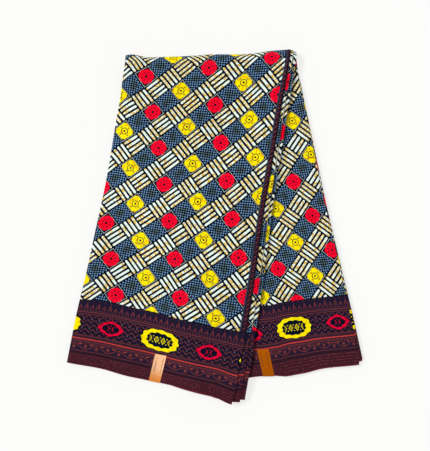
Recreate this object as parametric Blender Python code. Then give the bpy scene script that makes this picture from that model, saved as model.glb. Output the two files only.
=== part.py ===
"""A six-yard length of wax-print cotton, pleated to a panel a foot wide and halved over
a skewed fold, lying flat on a table.

The front half leans left on top of the back half, which leans right. Each half is the same
stack of plies, so every layer runs up the front half, round the turn and down the back half.
Depth is counted from the outside of the stack: 0 is the front face and the underside,
STACK is the innermost face, where the two halves meet. Metres, +Z up, +Y towards the fold.
"""

import math
from collections import namedtuple

import bpy
from mathutils import Vector

MM = 0.001

# Driving dimensions of the cloth and of its folds
CLOTH_WIDTH = 1180 * MM  # selvedge to selvedge, shared by the two halves
FOLD_LINE = 293 * MM  # the pleated panel where it is halved
FOLD_TILT = math.radians(1.6)
FOLD_HEIGHT = 284.7 * MM  # the fold's left end above the middle of the outline
FOLD_START = -152.2 * MM
STACK = 11 * MM  # one half, 18 plies deep
HALVES_GAP = 0.4 * MM
BACK_LEFT_SLIP = 38 * MM  # hidden plies of the back half that have slid up

# A stack of folds is plumper at the turn and flatter at its free ends and sides
TURN_GAIN, TURN_REACH = 0.15, 45 * MM
END_LOSS, END_REACH = 0.13, 30 * MM
SIDE_LOSS, SIDE_REACH = 0.10, 10 * MM
SAG_WIDTH = 78 * MM  # the front half comes down to the table over this, past the back half
GROOVE = 1.2 * MM  # between plies, at the layered edges

# Each half's sides: length to the fold line and lean from the vertical, positive to the left
FRONT_LEFT_LENGTH, FRONT_LEFT_LEAN = 529 * MM, math.radians(11.1)
FRONT_RIGHT_LENGTH, FRONT_RIGHT_LEAN = 597 * MM, math.radians(8.5)
BACK_LEFT_LEAN = math.radians(-12.9)
BACK_RIGHT_LEAN = math.radians(-11.9)

# Edge tables, rows of (share along the edge, offset in mm). Sides: to the right, from the
# selvedge up. Ends: downwards, from the left. Fold line: upwards, from the left.
FRONT_LEFT_BOW = ((0, 0), (0.13, 0), (0.36, 4), (0.6, 6.2), (0.85, 3.4), (1, 0))
FRONT_RIGHT_BOW = ((0, 0), (0.3, -0.5), (0.6, -3), (0.8, -1.8), (1, 0))
BACK_LEFT_BOW = ((0, 0), (1, 0))
BACK_RIGHT_BOW = ((0, 0), (0.2, 0.3), (0.55, -3.2), (0.92, -3), (1, 0))
FRONT_END_WAVE = ((0, 0), (0.18, -1.6), (0.35, 1.9), (0.6, 1.7), (0.8, 4.7), (0.93, 13.4), (1, 14))
BACK_END_WAVE = ((0, 0), (0.36, -2.4), (0.46, 0), (0.54, 3.8), (0.63, 2.6), (0.78, -1.8), (1, 0))
FOLD_WAVE = ((0, -1), (0.03, 0), (0.14, -6), (0.35, -5.8), (0.5, -3.8), (0.68, -5.2), (0.9, 0), (1, 1.5))

# Where the layers' common grid has its lines: across the panel, and along it from a selvedge
COLUMNS = (0, 0.05, 0.11, 0.18, 0.26, 0.34, 0.42, 0.50, 0.58, 0.66, 0.74, 0.82, 0.90, 1.0)
FRONT_ROWS = (0, 0.028, 0.07, 0.13, 0.20, 0.28, 0.36, 0.45, 0.55, 0.65, 0.75, 0.84, 0.91, 0.96, 1)
BACK_ROWS = (1, 0.95, 0.88, 0.75, 0.6, 0.45, 0.3, 0.18, 0.09, 0.03, 0)
TURN_STEPS = 6

Half = namedtuple("Half", "left right left_bow right_bow end_wave")
Station = namedtuple("Station", "part share")
# depths: outer and inner face in mm. plies: shown at the left, at the right and at the ends.
# left, right: mm in from the panel's sides, on the front half and on the back half, as rows
# of (share from the selvedge, mm). ends: mm in from the selvedge line, as (share across, mm).
Layer = namedtuple(
    "Layer", "name depths plies left front_right back_right front_end back_end color"
)

LAYERS = (
    Layer(
        "outer_sheet", (0, 1.3), (1, 1, 1), (0, 2),
        ((0, 21.5), (0.06, 19), (0.25, 14.5), (0.5, 13.3), (0.72, 11.2), (1, 10.2)),
        ((0, 4), (1, 8)), ((0, 0), (1, 0)), ((0, 2), (1, 5)), (0.13, 0.15, 0.2),
    ),
    Layer(
        "side_pleat_a", (1.85, 3.65), (2, 1, 2), (1.5, 2.5),
        ((0, 10), (0.12, 9), (0.25, 7), (0.5, 5.5), (1, 6)), ((0, 3), (1, 5)),
        ((0, 2.5), (0.5, 2), (0.66, -2), (0.83, -1.5), (0.91, 4), (1, 8)), ((0, 4), (1, 8)),
        (0.5, 0.48, 0.36),
    ),
    Layer(
        "side_pleat_b", (4.2, 6), (2, 1, 2), (2.5, 2),
        ((0, 2.5), (0.15, 0.8), (0.4, 0), (1, 0)), ((0, 2), (1, 2)),
        ((0, 4), (0.6, 3), (0.9, 7), (1, 12.5)), ((0, 3), (1, 6)), (0.42, 0.4, 0.32),
    ),
    Layer(
        "hidden_plies", (6.55, 9.2), (3, 3, 3), (1, 1),
        ((0, 4), (1, 1)), ((0, -4), (0.3, -3), (0.9, -2), (1, 0.5)),
        ((0, 3), (0.5, 2.5), (0.9, 9), (1, 14)), ((0, 2), (0.85, 2.5), (1, 10)),
        (0.2, 0.09, 0.08),
    ),
    Layer(
        "inner_sheet", (9.75, 11), (1, 1, 1), (2, 0.5),
        ((0, 4), (1, 1)), ((0, 0), (1, 0)),
        ((0, 1.5), (1, 15)), ((0, 0), (1, 0)), (0.11, 0.13, 0.18),
    ),
)

# Foil labels stuck over the selvedge, placed by the share across the panel of their left sides
Label = namedtuple("Label", "name half across")
LABELS = (Label("label_front", "front", 0.455), Label("label_back", "back", 0.388))
LABEL_WIDTH, LABEL_LENGTH = 20 * MM, 48 * MM
LABEL_THICKNESS, LABEL_GAP = 0.6, 0.4  # in mm of depth
LABEL_COLOR = (0.75, 0.42, 0.12)

# Finishes: cotton is matt, foil has a soft metal shine
COTTON_ROUGHNESS, COTTON_METALLIC = 0.8, 0
FOIL_ROUGHNESS, FOIL_METALLIC = 0.35, 0.6
SHARP_EDGE = math.radians(35)


def value_at(table, share):
    """The table's value at a share, eased between its rows."""
    for (start, low), (stop, high) in zip(table, table[1:]):
        if share <= stop:
            step = max(0.0, (share - start) / (stop - start))
            return low + (high - low) * step * step * (3 - 2 * step)
    return table[-1][1]


def leaning(start, length, lean):
    """The point a length down from start, along a line that leans from the vertical."""
    return start + Vector((-math.sin(lean), -math.cos(lean))) * length


def turn_length():
    """Cloth taken up by the outermost layer round the turn."""
    return math.pi * (STACK * (1 + TURN_GAIN) + HALVES_GAP / 2)


FOLD_LEFT = Vector((FOLD_START, FOLD_HEIGHT))
FOLD_RIGHT = FOLD_LEFT + Vector((math.cos(FOLD_TILT), math.sin(FOLD_TILT))) * FOLD_LINE
BACK_LEFT_LENGTH = CLOTH_WIDTH - FRONT_LEFT_LENGTH - turn_length() - BACK_LEFT_SLIP
BACK_RIGHT_LENGTH = CLOTH_WIDTH - FRONT_RIGHT_LENGTH - turn_length()

FRONT = Half(
    leaning(FOLD_LEFT, FRONT_LEFT_LENGTH, FRONT_LEFT_LEAN),
    leaning(FOLD_RIGHT, FRONT_RIGHT_LENGTH, FRONT_RIGHT_LEAN),
    FRONT_LEFT_BOW, FRONT_RIGHT_BOW, FRONT_END_WAVE,
)
BACK = Half(
    leaning(FOLD_LEFT, BACK_LEFT_LENGTH, BACK_LEFT_LEAN),
    leaning(FOLD_RIGHT, BACK_RIGHT_LENGTH, BACK_RIGHT_LEAN),
    BACK_LEFT_BOW, BACK_RIGHT_BOW, BACK_END_WAVE,
)
STATIONS = (
    [Station("front", share) for share in FRONT_ROWS]
    + [Station("turn", step / TURN_STEPS) for step in range(1, TURN_STEPS)]
    + [Station("back", share) for share in BACK_ROWS]
)
LAST = len(STATIONS) - 1


def plan(half, across, along):
    """Where a point of the panel lies, seen from above."""
    left = half.left.lerp(FOLD_LEFT, along)
    right = half.right.lerp(FOLD_RIGHT, along)
    left.x += value_at(half.left_bow, along) * MM
    right.x += value_at(half.right_bow, along) * MM
    point = left.lerp(right, across)
    point.y -= value_at(half.end_wave, across) * (1 - along) * MM
    point.y += value_at(FOLD_WAVE, across) * along * MM
    return point


def side_length(half, across):
    """From the selvedge to the fold line, at a share across the panel."""
    return (plan(half, across, 1) - plan(half, across, 0)).length


def thickness(half, across, along):
    """The stack's height: plumper near the turn, flatter towards its ends and sides."""
    to_end = along * side_length(half, across)
    to_fold = (1 - along) * side_length(half, across)
    to_side = min(across, 1 - across) * FOLD_LINE
    clear_of_turn = min(1, to_fold / TURN_REACH)
    height = STACK * (1 + TURN_GAIN * math.exp(-to_fold / TURN_REACH))
    height *= 1 - END_LOSS * math.exp(-to_end / END_REACH)
    return height * (1 - SIDE_LOSS * clear_of_turn * math.exp(-to_side / SIDE_REACH))


def outside(point):
    """How far a point in plan lies outside the back half, beyond its left side or its end."""
    past = 0.0
    for start, stop in ((FOLD_LEFT, BACK.left), (BACK.left, BACK.right)):
        edge = stop - start
        past = max(past, edge.cross(point - start) / -edge.length)
    return past


def rest_height(point, to_fold):
    """What the front half lies on: the back half, then a sag down to the table."""
    under = STACK * (1 + TURN_GAIN * math.exp(-to_fold / TURN_REACH)) + HALVES_GAP
    fall = min(1, outside(point) / SAG_WIDTH)
    return under * (1 - fall * fall * (3 - 2 * fall))


def knot(column, station, depth):
    """A point of the common grid, at a depth in mm inside the stack."""
    across = COLUMNS[column]
    part, share = STATIONS[station]
    inside = depth * MM / STACK
    if part == "back":
        flat = plan(BACK, across, share)
        return Vector((*flat, thickness(BACK, across, share) * inside))
    if part == "front":
        flat = plan(FRONT, across, share)
        base = rest_height(flat, (1 - share) * side_length(FRONT, across))
        return Vector((*flat, base + thickness(FRONT, across, share) * (1 - inside)))
    centre = plan(FRONT, across, 1)
    stack = thickness(FRONT, across, 1)
    radius = stack * (1 - inside) + HALVES_GAP / 2
    swing = math.pi * share
    out = Vector((-math.sin(FOLD_TILT), math.cos(FOLD_TILT))) * radius * math.sin(swing)
    return Vector((*(centre + out), stack + HALVES_GAP / 2 + radius * math.cos(swing)))


def on_stack(across, station, depth):
    """A point of the stack, flat between the grid's lines, so that no two layers cross."""
    column = max(i for i, line in enumerate(COLUMNS[:-1]) if line <= max(across, 0))
    row = min(max(math.floor(station), 0), LAST - 1)
    u = (across - COLUMNS[column]) / (COLUMNS[column + 1] - COLUMNS[column])
    v = station - row
    near = knot(column, row, depth).lerp(knot(column + 1, row, depth), u)
    far = knot(column, row + 1, depth).lerp(knot(column + 1, row + 1, depth), u)
    return near.lerp(far, v)


def side_margins(layer, station):
    """How far in the layer's left and right sides are at a station, in mm."""
    part, share = STATIONS[station]
    if part == "front":
        return layer.left[0], value_at(layer.front_right, share)
    if part == "back":
        return layer.left[1], value_at(layer.back_right, share)
    left = layer.left[0] + (layer.left[1] - layer.left[0]) * share
    start, stop = layer.front_right[-1][1], layer.back_right[-1][1]
    return left, start + (stop - start) * share


def end_station(half, across, inset):
    """The station, with its fraction, that lies an inset in mm in from a selvedge line."""
    rows = FRONT_ROWS if half is FRONT else BACK_ROWS[::-1]
    share = inset * MM / side_length(half, across)
    row = max(i for i, line in enumerate(rows[:-1]) if line <= max(share, 0))
    station = row + (share - rows[row]) / (rows[row + 1] - rows[row])
    return station if half is FRONT else LAST - station


def rim_out(share, plies, height):
    """How far a rim stands out at a share of its depth: round plies, grooves between them."""
    if share in (0, 1):
        return 0.0
    place = share * plies % 1
    if place < 1e-6 or place > 1 - 1e-6:
        return -GROOVE / MM
    return height / plies / 2 * math.sqrt(1 - (2 * place - 1) ** 2)


def layer_point(layer, i, j, share, out):
    """A layer's point at column i and station j. out is (left, right, ends) in mm."""
    depth = layer.depths[0] + (layer.depths[1] - layer.depths[0]) * share
    left, right = side_margins(layer, j)
    across = COLUMNS[i]
    if i == 0:
        across = (left - out[0]) * MM / FOLD_LINE
    elif i == len(COLUMNS) - 1:
        across = 1 - (right - out[1]) * MM / FOLD_LINE
    station = j
    if j == 0:
        station = end_station(FRONT, across, value_at(layer.front_end, across) - out[2])
    elif j == LAST:
        station = end_station(BACK, across, value_at(layer.back_end, across) - out[2])
    return on_stack(across, station, depth)


def rim_loop(columns, rows):
    """Grid indices round the outline of a sheet, once round."""
    loop = [(i, 0) for i in range(columns)]
    loop += [(columns - 1, j) for j in range(1, rows)]
    loop += [(i, rows - 1) for i in range(columns - 2, -1, -1)]
    return loop + [(0, j) for j in range(rows - 2, 0, -1)]


def slab(columns, rows, levels, point):
    """A closed wall: an outer grid, an inner grid, and a rim that joins them in levels.

    point(i, j, level) gives the position; level 0 is the outer face.
    """
    points, index = [], {}
    loop = rim_loop(columns, rows)
    everywhere = [(i, j) for j in range(rows) for i in range(columns)]
    for level in range(levels):
        for i, j in everywhere if level in (0, levels - 1) else loop:
            index[i, j, level] = len(points)
            points.append(point(i, j, level))
    faces = []
    for level, turned in ((0, False), (levels - 1, True)):
        for i in range(columns - 1):
            for j in range(rows - 1):
                a, b = index[i, j, level], index[i + 1, j, level]
                c, d = index[i + 1, j + 1, level], index[i, j + 1, level]
                faces += [(c, b, a), (d, c, a)] if turned else [(a, b, c), (a, c, d)]
    for level in range(levels - 1):
        for here, there in zip(loop, loop[1:] + loop[:1]):
            a, b = index[*here, level], index[*there, level]
            c, d = index[*there, level + 1], index[*here, level + 1]
            faces += [(b, a, d), (b, d, c)]
    return points, faces


def plain_material(name, color, roughness, metallic):
    """A plain finish in the piece's overall colour."""
    material = bpy.data.materials.new(name)
    material.use_nodes = True
    shader = material.node_tree.nodes["Principled BSDF"]
    shader.inputs["Base Color"].default_value = (*color, 1)
    shader.inputs["Roughness"].default_value = roughness
    shader.inputs["Metallic"].default_value = metallic
    material.diffuse_color = (*color, 1)
    return material


def add_piece(name, points, faces, material):
    """One named object from a closed set of faces."""
    mesh = bpy.data.meshes.new(name)
    mesh.from_pydata(points, [], faces)
    mesh.materials.append(material)
    mesh.shade_smooth()
    mesh.set_sharp_from_angle(angle=SHARP_EDGE)
    piece = bpy.data.objects.new(name, mesh)
    bpy.context.scene.collection.objects.link(piece)
    return piece


def add_layer(layer):
    """One layer of the cloth, from the front selvedge round the turn to the back selvedge."""
    steps = 2 * max(layer.plies)
    height = layer.depths[1] - layer.depths[0]

    def point(i, j, level):
        share = level / steps
        out = [rim_out(share, plies, height) for plies in layer.plies]
        return layer_point(layer, i, j, share, out)

    points, faces = slab(len(COLUMNS), len(STATIONS), steps + 1, point)
    material = plain_material(layer.name, layer.color, COTTON_ROUGHNESS, COTTON_METALLIC)
    add_piece(layer.name, points, faces, material)


def add_label(label):
    """A foil label: flat on its sheet, turned down over the selvedge."""
    sheet, half = (LAYERS[0], FRONT) if label.half == "front" else (LAYERS[-1], BACK)
    face, back = sheet.depths if half is FRONT else sheet.depths[::-1]
    outward = math.copysign(1, face - back)
    stop = label.across + LABEL_WIDTH / FOLD_LINE
    columns = [label.across] + [line for line in COLUMNS if label.across < line < stop] + [stop]
    grid = FRONT_ROWS if half is FRONT else BACK_ROWS
    length = side_length(half, label.across)
    on_face = [line * length / MM for line in sorted(grid) if 0 < line * length < LABEL_LENGTH]
    on_face.append(LABEL_LENGTH / MM)

    def run(lift):
        """Up from below the sheet's edge, over it at a lift in mm, and along its face."""
        past = -lift - abs(face - back) / 2
        top = face + outward * lift
        return [(past, back), (past, top)] + [(inset, top) for inset in on_face]

    rows = (run(LABEL_GAP + LABEL_THICKNESS), run(LABEL_GAP))

    def point(i, j, level):
        inset, depth = rows[level][j]
        return on_stack(columns[i], end_station(half, columns[i], inset), depth)

    points, faces = slab(len(columns), len(rows[0]), 2, point)
    material = plain_material(label.name, LABEL_COLOR, FOIL_ROUGHNESS, FOIL_METALLIC)
    add_piece(label.name, points, faces, material)


def main():
    for old in list(bpy.data.objects):
        bpy.data.objects.remove(old)
    for layer in LAYERS:
        add_layer(layer)
    for label in LABELS:
        add_label(label)


main()
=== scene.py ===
# %% [markdown]
# # A six-yard wax print, folded and laid on a table
#
# The object is one long piece of printed cotton. It was pleated lengthwise to a panel a foot wide,
# eighteen plies deep, and the panel was then halved over a slightly skewed fold. The front half
# leans left, the back half leans right, and a gold foil sticker is wrapped over each selvedge.
#
# The frame holds plain solids for all of it. They keep their places, and every one of them is
# replaced here by thin cloth that follows the same folds.

# %% Load the frame
import math
import random
from collections import namedtuple

import bpy
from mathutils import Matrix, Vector, noise


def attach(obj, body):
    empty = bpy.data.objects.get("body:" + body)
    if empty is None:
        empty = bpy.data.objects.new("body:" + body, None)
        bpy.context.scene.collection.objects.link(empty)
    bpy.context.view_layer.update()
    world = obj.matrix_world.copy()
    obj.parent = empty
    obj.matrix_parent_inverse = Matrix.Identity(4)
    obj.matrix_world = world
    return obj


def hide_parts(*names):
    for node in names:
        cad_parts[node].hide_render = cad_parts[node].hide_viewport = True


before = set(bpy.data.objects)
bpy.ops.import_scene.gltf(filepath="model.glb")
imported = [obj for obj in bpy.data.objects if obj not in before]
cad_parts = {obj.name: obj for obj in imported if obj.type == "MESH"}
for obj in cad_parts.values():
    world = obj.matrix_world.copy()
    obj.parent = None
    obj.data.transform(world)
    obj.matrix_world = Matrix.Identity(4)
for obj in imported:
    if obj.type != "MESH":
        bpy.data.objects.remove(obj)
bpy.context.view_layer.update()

scene = bpy.context.scene
print("solids in the frame:", ", ".join(sorted(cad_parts)))

# %% [markdown]
# ## The folds as numbers
#
# Folded cloth is easiest to describe the way a shop assistant folds it: where the fold line is, how
# far each side of the panel runs from it, and in which direction. The values are those of the
# solids. Edge tables hold pairs of (share along the edge, millimetres), because a cloth's edge is
# never quite straight.

# %% Sizes of the cloth and its folds
MM = 0.001
CLOTH_WIDTH = 1180 * MM
CLOTH_LENGTH = 5490 * MM
PLIES = 18
PLY_WIDTH = CLOTH_LENGTH / PLIES

FOLD_LINE = 293 * MM
FOLD_TILT = math.radians(1.6)
FOLD_LEFT = Vector((-152.2, 284.7)) * MM
FOLD_RIGHT = FOLD_LEFT + Vector((math.cos(FOLD_TILT), math.sin(FOLD_TILT))) * FOLD_LINE
STACK = 11 * MM
HALVES_GAP = 0.4 * MM
BACK_LEFT_SLIP = 38 * MM  # how much shorter the back half is at its left, where its plies slid up

TURN_GAIN, TURN_REACH = 0.15, 45 * MM  # how much plumper the stack is at the turn, and how far in
END_LOSS, END_REACH = 0.13, 30 * MM  # how much thinner at its ends
SIDE_LOSS, SIDE_REACH = 0.10, 10 * MM  # and at its sides
SAG_WIDTH = 78 * MM  # how far past the back half the front half takes to reach the table

FOLD_WAVE = (
    (0, -1), (0.03, 0), (0.14, -6), (0.35, -5.8), (0.5, -3.8), (0.68, -5.2), (0.9, 0), (1, 1.5)
)


def eased(table, share):
    """The table's value at a share, with a smooth step from row to row."""
    for (start, low), (stop, high) in zip(table, table[1:]):
        if share <= stop:
            step = max(0.0, (share - start) / (stop - start))
            return low + (high - low) * step * step * (3 - 2 * step)
    return table[-1][1]


def straight(table, place):
    """The table's value at a place, with a straight run from row to row."""
    for (start, low), (stop, high) in zip(table, table[1:]):
        if place <= stop:
            return low + (high - low) * (place - start) / (stop - start)
    return table[-1][1]


def leaning(start, length, degrees):
    """The point a length down from start, on a line that leans from the vertical."""
    lean = math.radians(degrees)
    return start + Vector((-math.sin(lean), -math.cos(lean))) * length


print(f"{PLIES} plies of {PLY_WIDTH:.3f} m, on a fold line of {FOLD_LINE:.3f} m")

# %% [markdown]
# ## The panel seen from above
#
# Each half of the panel is a long four-sided shape. Two lengths and two leans give its corners, and
# three small tables bow its sides and wave its selvedge. The back half gets whatever the front half
# and the turn leave of the cloth's width, less a slip at its left, so the right sides and the turn
# between them add up to the whole cloth.

# %% The two halves of the panel
TURN_LENGTH = math.pi * (STACK * (1 + TURN_GAIN) + HALVES_GAP / 2)
Half = namedtuple("Half", "left right left_length right_length left_bow right_bow end_wave")


def make_half(lengths, leans, left_bow, right_bow, end_wave):
    """A half from the lengths and leans of its two sides."""
    left = leaning(FOLD_LEFT, lengths[0], leans[0])
    right = leaning(FOLD_RIGHT, lengths[1], leans[1])
    return Half(left, right, *lengths, left_bow, right_bow, end_wave)


FRONT = make_half(
    (529 * MM, 597 * MM),
    (11.1, 8.5),
    ((0, 0), (0.13, 0), (0.36, 4), (0.6, 6.2), (0.85, 3.4), (1, 0)),
    ((0, 0), (0.3, -0.5), (0.6, -3), (0.8, -1.8), (1, 0)),
    ((0, 0), (0.18, -1.6), (0.35, 1.9), (0.6, 1.7), (0.8, 4.7), (0.93, 13.4), (1, 14)),
)
BACK = make_half(
    (
        CLOTH_WIDTH - FRONT.left_length - TURN_LENGTH - BACK_LEFT_SLIP,
        CLOTH_WIDTH - FRONT.right_length - TURN_LENGTH,
    ),
    (-12.9, -11.9),
    ((0, 0), (1, 0)),
    ((0, 0), (0.2, 0.3), (0.55, -3.2), (0.92, -3), (1, 0)),
    ((0, 0), (0.36, -2.4), (0.46, 0), (0.54, 3.8), (0.63, 2.6), (0.78, -1.8), (1, 0)),
)


def plan(half, across, along):
    """A point of the panel from above: across it, and along it from the selvedge."""
    left = half.left.lerp(FOLD_LEFT, along)
    right = half.right.lerp(FOLD_RIGHT, along)
    left.x += eased(half.left_bow, along) * MM
    right.x += eased(half.right_bow, along) * MM
    point = left.lerp(right, across)
    point.y -= eased(half.end_wave, across) * (1 - along) * MM
    point.y += eased(FOLD_WAVE, across) * along * MM
    return point


def half_length(half, across):
    """From the selvedge to the fold line, at a share across the panel."""
    return half.left_length + (half.right_length - half.left_length) * across


print(f"front half {FRONT.left_length:.3f} to {FRONT.right_length:.3f} m,",
      f"back half {BACK.left_length:.3f} to {BACK.right_length:.3f} m")

# %% [markdown]
# ## How thick the stack is, and what it rests on
#
# A stack of pleats is never a slab. It is plump at the turn, where the cloth is bent hardest, and
# thin along its free edges, and air is trapped in between. One slow noise swells all plies of a
# half together, so that no swell pushes one ply through another. The front half lies on the back
# half, and where it reaches past it, it comes down to the table in one long slope.
#
# Noise alone looks like a cushion. Cloth that was folded by hand has a few creases with a beginning
# and an end: dents that run down from the fold, and soft ridges that run up from each lift of the
# selvedge. They are few, so they are listed one by one, each with its own length, depth and width.
#
# At the front half's right foot the pleats have fanned apart. The stack is a little higher there,
# and its pleats sink away under the outer sheet, which is what makes the dark lines between them.

# %% Swells and creases
SWELL = 0.07  # air between the plies, as a share of the stack
SWELL_SIZE = 70 * MM
SWELL_FROM_SIDE, SWELL_FROM_END = 25 * MM, 40 * MM
FRONT_AIR, BACK_AIR = 3.7, 9.2  # where in the noise the swells of each half are taken
CREASE_FROM_SIDE = 6 * MM
CREASE_FADE = 0.3  # how far past its ends a crease fades out, as a share of its length


def air(place, seed):
    """Slow lifts and hollows, from -1 to 1."""
    return noise.noise(Vector((place.x / SWELL_SIZE, place.y / SWELL_SIZE, seed)))


# A crease is a line on the panel, in mm from its left side and up from its selvedge. A ridge has a
# rise above 0, and a trough has one below it.
Crease = namedtuple("Crease", "x y to_x to_y rise width")
FRONT_CREASES = (
    Crease(40, 500, 66, 412, -1.0, 13), Crease(98, 520, 88, 462, -0.7, 10),
    Crease(146, 545, 161, 440, 0.8, 15), Crease(199, 556, 188, 500, -0.9, 11),
    Crease(262, 560, 246, 430, 0.7, 12), Crease(10, 386, 74, 344, 0.6, 12),
    Crease(54, 0, 62, 74, -0.9, 15), Crease(101, 0, 108, 128, 0.9, 17),
    Crease(176, 0, 170, 52, 0.6, 12), Crease(232, 0, 214, 104, -0.8, 13),
    Crease(276, 0, 262, 150, 1.0, 13), Crease(120, 236, 206, 262, -0.5, 16),
    Crease(188, 330, 258, 372, 0.5, 14), Crease(34, 196, 98, 226, 0.5, 14),
)
BACK_CREASES = (
    Crease(158, 0, 150, 96, 1.0, 13), Crease(208, 0, 196, 72, -0.9, 14),
    Crease(262, 0, 252, 142, 0.6, 14), Crease(236, 176, 282, 236, -0.7, 12),
    Crease(274, 300, 290, 390, -0.5, 9), Crease(60, 0, 74, 60, -0.7, 13),
    Crease(120, 240, 44, 300, -0.6, 15), Crease(92, 420, 150, 500, -0.6, 13),
)


def creased(half, across, along):
    """How far the creases lift or press the stack here."""
    x, y = across * FOLD_LINE / MM, along * half_length(half, across) / MM
    lift = 0.0
    for crease in FRONT_CREASES if half is FRONT else BACK_CREASES:
        run = Vector((crease.to_x - crease.x, crease.to_y - crease.y))
        here = Vector((x - crease.x, y - crease.y))
        share = here.dot(run) / run.length_squared
        if -CREASE_FADE < share < 1 + CREASE_FADE:
            aside = run.cross(here) / run.length / crease.width
            fade = min(1, (1 + CREASE_FADE - share) / (2 * CREASE_FADE))
            if crease.y > 0:  # one that starts at the selvedge is at its full depth there
                fade *= min(1, (share + CREASE_FADE) / (2 * CREASE_FADE))
            lift += crease.rise * math.exp(-aside * aside) * fade * fade * (3 - 2 * fade)
    return lift * MM


print(len(FRONT_CREASES), "creases on the front half and", len(BACK_CREASES), "on the back half")

# %% The stack's height and the ground under it
FAN_REACH, FAN_WIDTH = 110 * MM, 70 * MM
FAN_LIFT = 0.2  # how much higher the fanned pleats stand, as a share of the stack


def fan(across, along):
    """How far the pleats have fanned apart: 1 at the front half's right foot, 0 well away from it."""
    to_end, to_side = along * half_length(FRONT, across), max(0, 1 - across) * FOLD_LINE
    return math.exp(-to_end / FAN_REACH) * max(0, 1 - to_side / FAN_WIDTH)


def stack_height(half, across, along):
    """Height of one half's stack of plies."""
    length = half_length(half, across)
    to_end, to_fold = along * length, (1 - along) * length
    from_side = max(min(across, 1 - across) * FOLD_LINE, 0)
    clear_of_turn = min(1, to_fold / TURN_REACH)
    height = STACK * (1 + TURN_GAIN * math.exp(-to_fold / TURN_REACH))
    height *= 1 - END_LOSS * math.exp(-to_end / END_REACH)
    height *= 1 - SIDE_LOSS * clear_of_turn * math.exp(-from_side / SIDE_REACH)
    if half is FRONT:
        height *= 1 + FAN_LIFT * fan(across, along)
    inside = min(1, from_side / SWELL_FROM_SIDE) * min(1, to_end / SWELL_FROM_END) * clear_of_turn
    swell = air(plan(half, across, along), FRONT_AIR if half is FRONT else BACK_AIR)
    crease = creased(half, across, along) * min(1, from_side / CREASE_FROM_SIDE) * clear_of_turn
    return height * (1 + SWELL * inside * swell) + crease


def outside_back(point):
    """How far a point in plan lies outside the back half."""
    past = 0.0
    for start, stop in ((FOLD_LEFT, BACK.left), (BACK.left, BACK.right)):
        edge = stop - start
        past = max(past, edge.cross(point - start) / -edge.length)
    return past


def ground(point, to_fold):
    """What the front half lies on: the back half, then a slope down to the table."""
    under = STACK * (1 + TURN_GAIN * math.exp(-to_fold / TURN_REACH)) + HALVES_GAP
    fall = min(1, outside_back(point) / SAG_WIDTH)
    return under * (1 - fall * fall * (3 - 2 * fall))


print(f"the front half's stack is {stack_height(FRONT, 0.5, 0.5) / MM:.1f} mm high at its middle")

# %% [markdown]
# ## One address for every thread
#
# Each ply runs up the front half, round the turn and down the back half, one inside the other like
# the pages of a bent booklet. So three numbers place any thread: how far across the panel, how far
# along the path, and how deep in the stack. The path number runs from 0 at the front selvedge to 1
# at the fold, to 2 round the turn, and to 3 at the back selvedge. Depth is counted in millimetres
# from the outside of the booklet, so 0 is the front face and the underside alike.

# %% From address to place
# Where fanned plies sink to: the share of the stack above a ply, and what it becomes at the foot
SUNK = (
    (0, 0), (0.05, 0.05), (0.16, 0.43), (0.33, 0.53), (0.375, 0.57), (0.54, 0.635), (0.59, 0.675),
    (1, 1),
)


def fanned(inside, across, path):
    """The share of the stack above a ply, with the pleats sunk apart where they have fanned."""
    return inside + (straight(SUNK, inside) - inside) * fan(across, path)


def place_at(across, path, depth):
    """Where the cloth is, from its share across, its path number and its depth in mm."""
    inside = fanned(depth * MM / STACK, across, path) if path <= 1 else depth * MM / STACK
    if path <= 1:
        flat = plan(FRONT, across, path)
        base = ground(flat, (1 - path) * half_length(FRONT, across))
        return Vector((*flat, base + stack_height(FRONT, across, path) * (1 - inside)))
    if path >= 2:
        flat = plan(BACK, across, 3 - path)
        return Vector((*flat, stack_height(BACK, across, 3 - path) * inside))
    stack = stack_height(FRONT, across, 1)
    radius = stack * (1 - inside) + HALVES_GAP / 2
    swing = math.pi * (path - 1)
    out = Vector((-math.sin(FOLD_TILT), math.cos(FOLD_TILT))) * radius * math.sin(swing)
    return Vector((*(plan(FRONT, across, 1) + out), stack + HALVES_GAP / 2 + radius * math.cos(swing)))


top = place_at(0.5, 1, 0)
print(f"the stack is {top.z / MM:.1f} mm high at the fold")

# %% [markdown]
# ## The plies
#
# A maker would say that this is one cloth, and list the stretches that show: the outer sheet, two
# side pleats that stick out past it, the hidden plies whose edges show as layers, and the inner
# sheet that is the panel at the right. Each stretch is a run of plies. Even plies run from right to
# left and odd ones from left to right, joined by a round fold at each side, which is exactly how
# the accordion was folded.
#
# A ply has a depth and four edges, given in millimetres in from the panel's own edges. The left
# side has one number for each half, the right side a table for each half, and each end one table.

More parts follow.
